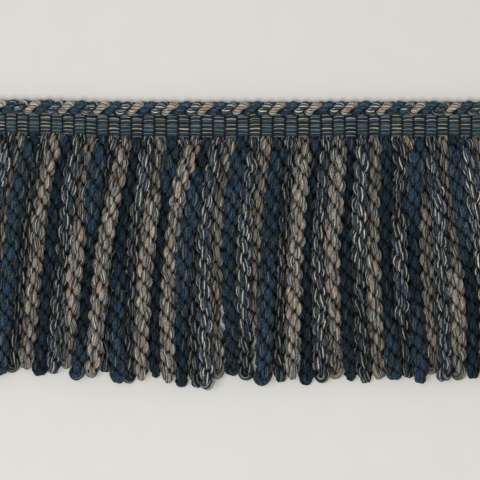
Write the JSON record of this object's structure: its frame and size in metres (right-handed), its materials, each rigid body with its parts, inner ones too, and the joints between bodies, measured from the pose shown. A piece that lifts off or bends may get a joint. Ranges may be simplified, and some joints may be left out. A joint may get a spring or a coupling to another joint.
{
  "type": "bullion fringe",
  "caption": "Cut length of bullion fringe lying face up: ribbed woven heading with a twisted edge, and cabled yarn bullions in navy, blue with cream, and peach with cream.",
  "frame": {"origin": "middle of the heading's flat back, where it is sewn or glued on; Z = 0 is the surface it lies on", "axes": "+X along the heading to the picture's right, +Y across it towards the twisted edge, +Z out of the face"},
  "size_m": [0.3105, 0.1543, 0.018],
  "materials": {
    "heading_yarn": "matt warp-faced rib weave in blue, teal and cream yarns",
    "edge_yarn": "matt twisted yarn",
    "navy_yarn": "matt, slightly hairy yarn",
    "blue_cream_yarn": "matt, slightly hairy yarn",
    "peach_cream_yarn": "matt, slightly hairy yarn"
  },
  "bodies": {
    "root": {"heading_tape": "heading_yarn", "twisted_edge": "edge_yarn", "bullions_navy": "navy_yarn", "bullions_blue_cream": "blue_cream_yarn", "bullions_peach_cream": "peach_cream_yarn"}
  },
  "joints": []
}
